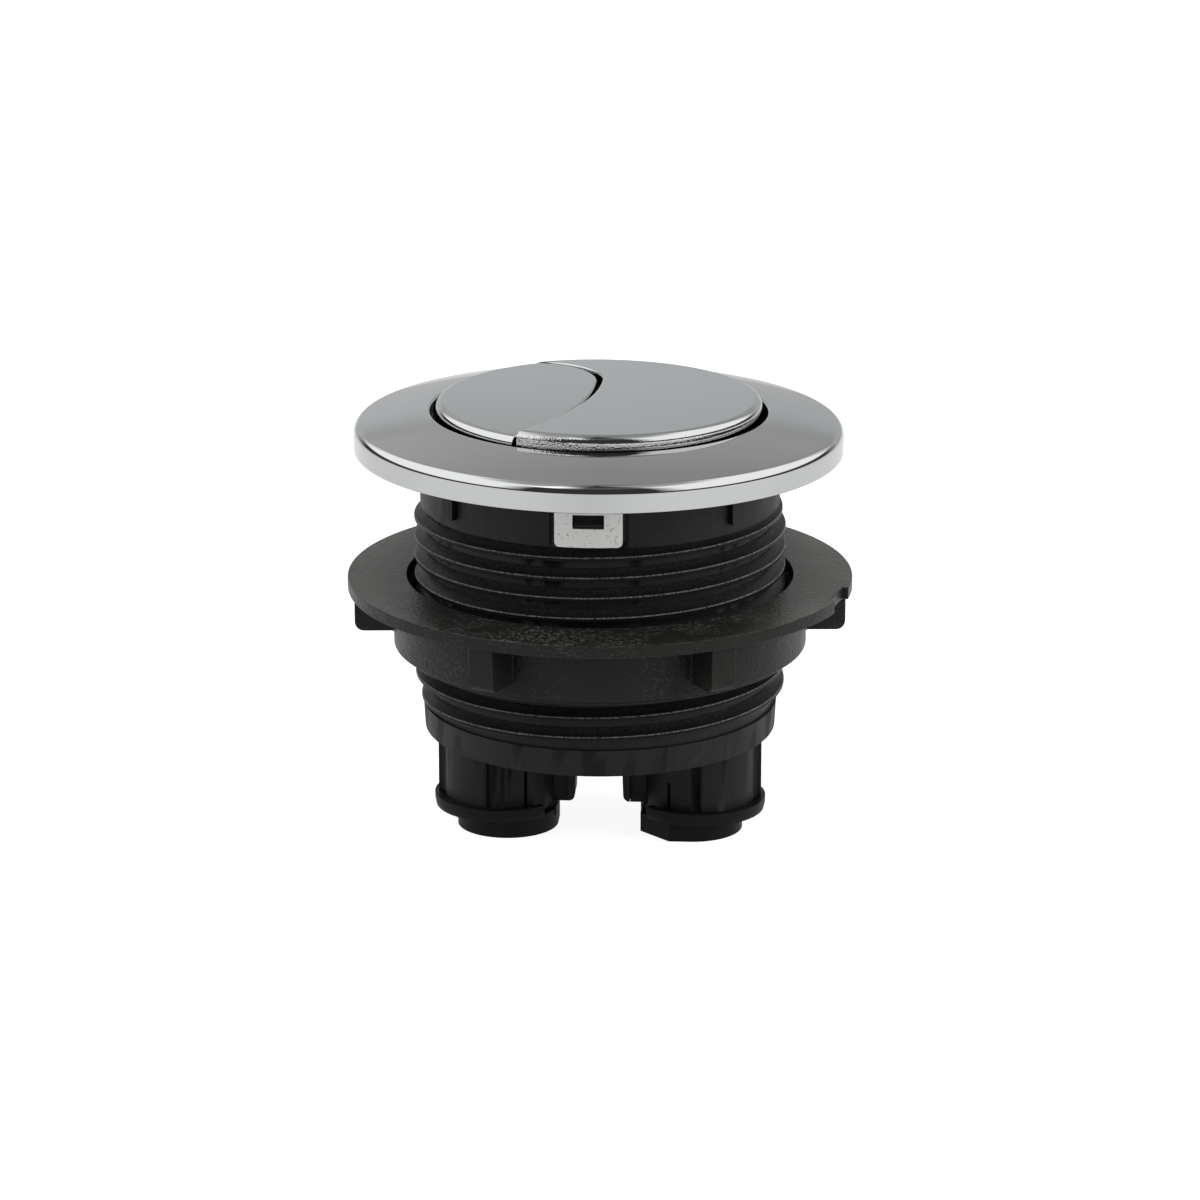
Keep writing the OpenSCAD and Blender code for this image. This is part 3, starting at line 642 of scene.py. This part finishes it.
def dull_plate():
    material, tree, shader = surface("dull_plate", (0.72, 0.72, 0.70), 0.75, 0.5)
    grain = use(tree, GRAIN, Grain_Size=2600.0, Mottle_Size=700.0)
    pits = maths(tree, "MULTIPLY_ADD", grain["Height"], 5.0, -1.05, clamp=True)
    tone = node(tree, "ShaderNodeMix", {"Factor": pits, "A": (0.28, 0.28, 0.27, 1), "B": (0.74, 0.74, 0.72, 1)},
                data_type="RGBA")
    tree.links.new(tone.outputs["Result"], shader.inputs["Base Color"])
    bump(tree, shader, grain["Mottle"], 0.05, 0.6)
    return material


def black_moulding(name, colour, rub_and_glint_colour, rough, shine, grain_size, grain_depth, streaks, rub_and_glint_amount, scuffs,
                   dust_and_side_light=0.0, breakup=800.0):
    """Satin black plastic: grain, upright draw marks, rubbed edges that also carry painted edge highlights, scuffs
    at the front where it is handled, and, on what faces up at the sides, a lighter tone that is partly dust and
    partly painted light."""
    material, tree, shader = surface(name, colour, 0.0, rough, shine)
    grain = use(tree, GRAIN, Grain_Size=grain_size, Mottle_Size=240.0)
    streak = use(tree, STREAKS, Fineness=1300.0)
    rub_and_glint = use(tree, RUB_AND_GLINT, Amount=rub_and_glint_amount, Breakup=breakup)
    spot = node(tree, "ShaderNodeSeparateXYZ", {0: node(tree, "ShaderNodeTexCoord").outputs["Object"]})
    at_front = maths(tree, "MULTIPLY_ADD", spot.outputs["Y"], -50.0, -0.6, clamp=True)
    # Painted light: the sides are made lighter than the front, where the bezel shades the flange; on what faces up
    # the same mask also lays dust.
    dusty_lit_side = maths(tree, "MULTIPLY_ADD", maths(tree, "ABSOLUTE", spot.outputs["X"]), 90.0, -1.9, clamp=True)
    facing = node(tree, "ShaderNodeSeparateXYZ", {0: node(tree, "ShaderNodeNewGeometry").outputs["Normal"]})
    upward = maths(tree, "MULTIPLY_ADD", facing.outputs["Z"], 4.0, -3.0, clamp=True)
    handled = maths(tree, "MULTIPLY_ADD", maths(tree, "MULTIPLY", at_front, upward), scuffs * 0.75, scuffs * 0.25)
    scuff = use(tree, SCUFFS, Scale=2400.0, Amount=handled)
    dusty_lit_top = maths(tree, "MULTIPLY", upward, dusty_lit_side)
    dust_and_painted_light = maths(tree, "MULTIPLY", maths(tree, "MULTIPLY", dusty_lit_top, grain["Mottle"]), dust_and_side_light, clamp=True)
    ground = node(tree, "ShaderNodeMix", {"Factor": dust_and_painted_light, "A": (*colour, 1), "B": (0.30, 0.30, 0.27, 1)},
                  data_type="RGBA")
    # Rubbed edges here are partly painted edge highlight; scuffs are wear.
    marks = maths(tree, "MAXIMUM", rub_and_glint["Rub"], scuff["Scuff"])
    tone = node(tree, "ShaderNodeMix", {"Factor": marks, "A": ground.outputs["Result"], "B": (*rub_and_glint_colour, 1)},
                data_type="RGBA")
    tree.links.new(tone.outputs["Result"], shader.inputs["Base Color"])
    uneven = maths(tree, "MULTIPLY_ADD", grain["Mottle"], 0.25, rough - 0.12)
    marked = maths(tree, "MULTIPLY_ADD", streak["Streak"], streaks, uneven)
    tree.links.new(marked, shader.inputs["Roughness"])
    height = maths(tree, "MULTIPLY_ADD", streak["Streak"], streaks * 2, grain["Height"])
    bump(tree, shader, height, grain_depth)
    return material


CHROME, DULL_PLATE = chrome(), dull_plate()
BODY_BLACK = black_moulding("body_black", (0.010, 0.010, 0.010), (0.14, 0.14, 0.137), 0.40, 0.22, 2600.0, 0.03, 0.15,
                            0.8, 0.12)
THREAD_BLACK = black_moulding("thread_black", (0.004, 0.004, 0.004), (0.13, 0.13, 0.125), 0.36, 0.12, 2200.0, 0.05,
                              0.1, 1.0, 0.05, breakup=3200.0)
# The nut's lighter sides are partly dust and partly painted light.
NUT_BLACK = black_moulding("nut_black", (0.012, 0.012, 0.011), (0.15, 0.15, 0.145), 0.32, 0.17, 1700.0, 0.10, 0.05,
                           0.2, 1.0, dust_and_side_light=0.30)
FOOT_BLACK = black_moulding("foot_black", (0.006, 0.006, 0.006), (0.06, 0.06, 0.058), 0.38, 0.15, 2600.0, 0.02, 0.1,
                            0.5, 0.05)


# Studio

def studio_camera():
    """A long lens a little above the lid line, turned slightly to the right of the front."""
    turn, rise, away = math.radians(3.45), math.radians(16.57), 682 * MM
    aim = Vector((0, 0, -19.9 * MM))
    heading = Vector((math.sin(turn) * math.cos(rise), -math.cos(turn) * math.cos(rise), math.sin(rise)))
    lens = bpy.data.cameras.new("studio_camera")
    lens.sensor_width = 36
    lens.lens = 135
    lens.clip_start = 0.05
    lens.clip_end = 50
    camera = bpy.data.objects.new("studio_camera", lens)
    bpy.context.scene.collection.objects.link(camera)
    camera.location = aim + heading * away
    look = Vector((0, 0, -23.9 * MM)) - camera.location
    camera.rotation_mode = "QUATERNION"
    camera.rotation_quaternion = look.to_track_quat("-Z", "Y")
    bpy.context.scene.camera = camera


def studio_world():
    """White behind the object. In metal it shows as a soft room: bright low down at the back, dimmer above,
    dark behind the camera, with the lamps on top of that."""
    world = bpy.data.worlds.new("studio")
    bpy.context.scene.world = world
    world.use_nodes = True
    tree = world.node_tree
    tree.nodes.clear()
    heading = node(tree, "ShaderNodeTexCoord").outputs["Generated"]
    split = node(tree, "ShaderNodeSeparateXYZ", {0: heading})
    rise = maths(tree, "MULTIPLY_ADD", split.outputs["Z"], 0.5, 0.5)
    back = ramp(tree, rise, [
        (0.0, 0.45), (0.50, 0.55), (0.61, 0.58, 0.60, 0.61), (0.635, 0.555, 0.575, 0.58), (0.65, 0.515, 0.53, 0.525),
        (0.672, 0.455, 0.462, 0.448), (0.75, 0.43, 0.43, 0.42), (0.81, 0.385, 0.385, 0.378), (0.985, 0.36),
        (0.993, 0.10)])
    level = maths(tree, "SQRT", maths(tree, "MULTIPLY_ADD", split.outputs["Z"],
                                      maths(tree, "MULTIPLY", split.outputs["Z"], -1.0), 1.0001))
    aside = maths(tree, "MULTIPLY_ADD", maths(tree, "DIVIDE", split.outputs["X"], level), 0.5, 0.5)
    near_lid = ramp(tree, aside, [(0.46, 1.0), (0.53, 0.89)])
    overhead = ramp(tree, aside, [(0.36, 1.2), (0.47, 1.0)])
    nearer = maths(tree, "MULTIPLY", maths(tree, "SUBTRACT", near_lid, overhead),
                   ramp(tree, rise, [(0.66, 1.0), (0.70, 0.0)]))
    back = node(tree, "ShaderNodeMix", {"Factor": 1.0, "A": back, "B": maths(tree, "ADD", nearer, overhead)},
                data_type="RGBA", blend_type="MULTIPLY").outputs["Result"]
    flank = ramp(tree, rise, [(0.50, 0.30), (0.505, 0.05), (0.60, 0.05), (0.635, 1.4), (0.93, 1.4), (0.97, 0.5)])
    at_flank = ramp(tree, aside, [(0.0, 1.0), (0.14, 1.0), (0.24, 0.0), (0.76, 0.0), (0.86, 1.0)])
    strips = ramp(tree, aside, [(0.0, 1.0), (0.27, 1.0), (0.36, 0.35), (0.46, 0.06), (0.81, 0.06), (0.89, 1.0)])
    low = ramp(tree, rise, [(0.50, 1.0), (0.88, 1.0), (0.89, 0.0)])
    high = ramp(tree, rise, [(0.895, 0.0), (0.905, 1.0), (0.978, 1.0), (0.988, 0.0)])
    front = maths(tree, "MULTIPLY_ADD", low, 0.03, 0.02)
    front = maths(tree, "MULTIPLY_ADD", maths(tree, "MULTIPLY", high, strips), 2.0, front)
    side = maths(tree, "MULTIPLY_ADD", split.outputs["Y"], 2.0, 0.5, clamp=True)
    room = node(tree, "ShaderNodeMix", {"Factor": side, "A": front, "B": back}, data_type="RGBA")
    room = node(tree, "ShaderNodeMix", {"Factor": at_flank, "A": room.outputs["Result"], "B": flank},
                data_type="RGBA")
    light = node(tree, "ShaderNodeLightPath")
    seen = node(tree, "ShaderNodeBackground", {"Color": (1, 1, 1, 1), "Strength": 1.0})
    fill = node(tree, "ShaderNodeBackground", {"Color": room.outputs["Result"], "Strength": 1.0})
    both = node(tree, "ShaderNodeMixShader", {0: light.outputs["Is Camera Ray"], 1: fill.outputs[0],
                                              2: seen.outputs[0]})
    node(tree, "ShaderNodeOutputWorld", {"Surface": both.outputs[0]})


def studio_floor():
    """A white floor at the feet's level that still takes a faint shadow."""
    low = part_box("half_foot")[0].z
    bm = bmesh.new()
    bmesh.ops.create_grid(bm, x_segments=1, y_segments=1, size=3.0, matrix=Matrix.Translation((0, 0, low)))
    floor = mesh_object(bm, "floor")
    material = bpy.data.materials.new("floor_white")
    material.use_nodes = True
    tree = material.node_tree
    tree.nodes.clear()
    light = node(tree, "ShaderNodeLightPath")
    paint = node(tree, "ShaderNodeBsdfDiffuse", {"Color": (0.25, 0.25, 0.25, 1)})
    spot = node(tree, "ShaderNodeSeparateXYZ", {0: node(tree, "ShaderNodeTexCoord").outputs["Object"]})
    mirrored = maths(tree, "MAXIMUM", maths(tree, "MULTIPLY_ADD", spot.outputs["Y"], -0.7, 0.38), 0.38)
    wider = maths(tree, "MULTIPLY", maths(tree, "ABSOLUTE", spot.outputs["X"]), 0.9)
    mirrored = maths(tree, "ADD", maths(tree, "MINIMUM", mirrored, 0.42), maths(tree, "MINIMUM", wider, 0.12))
    seen = maths(tree, "MULTIPLY", light.outputs["Is Camera Ray"], 0.9)
    seen = maths(tree, "MULTIPLY_ADD", light.outputs["Is Glossy Ray"], mirrored, seen)
    glow = node(tree, "ShaderNodeEmission", {"Color": (1, 1, 1, 1), "Strength": seen})
    both = node(tree, "ShaderNodeAddShader", {0: paint.outputs[0], 1: glow.outputs[0]})
    node(tree, "ShaderNodeOutputMaterial", {"Surface": both.outputs[0]})
    floor.data.materials.append(material)


def softbox(name, place, target, size, power):
    lamp = bpy.data.lights.new(name, "AREA")
    lamp.shape = "RECTANGLE"
    lamp.size, lamp.size_y = size
    lamp.energy = power
    box = bpy.data.objects.new(name, lamp)
    bpy.context.scene.collection.objects.link(box)
    box.visible_glossy = False
    box.location = place
    box.rotation_mode = "QUATERNION"
    box.rotation_quaternion = (Vector(target) - Vector(place)).to_track_quat("-Z", "Y")


def studio_lamps():
    softbox("top_softbox", (0.0, 0.10, 0.75), (0, 0, 0), (0.5, 0.4), 4.5)
    softbox("left_softbox", (-0.9, -0.5, 0.35), (0, 0, -0.02), (0.5, 0.8), 5.5)
    softbox("right_softbox", (0.95, -0.35, 0.30), (0, 0, -0.02), (0.4, 0.8), 9)


bezel_ring()
snap_tabs()
half_button()
full_button()
housing_body()
thread_ridge()
lock_nut()
foot("half_foot", "half_press")
foot("full_foot", "full_press")
for name in ("half_plunger", "full_plunger", "half_spring", "full_spring"):
    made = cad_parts[name]
    made.data.materials.clear()
    made.data.materials.append(CHROME if "spring" in name else FOOT_BLACK)

studio_world()
studio_floor()
studio_lamps()
studio_camera()
bpy.context.scene.view_settings.view_transform = "Standard"
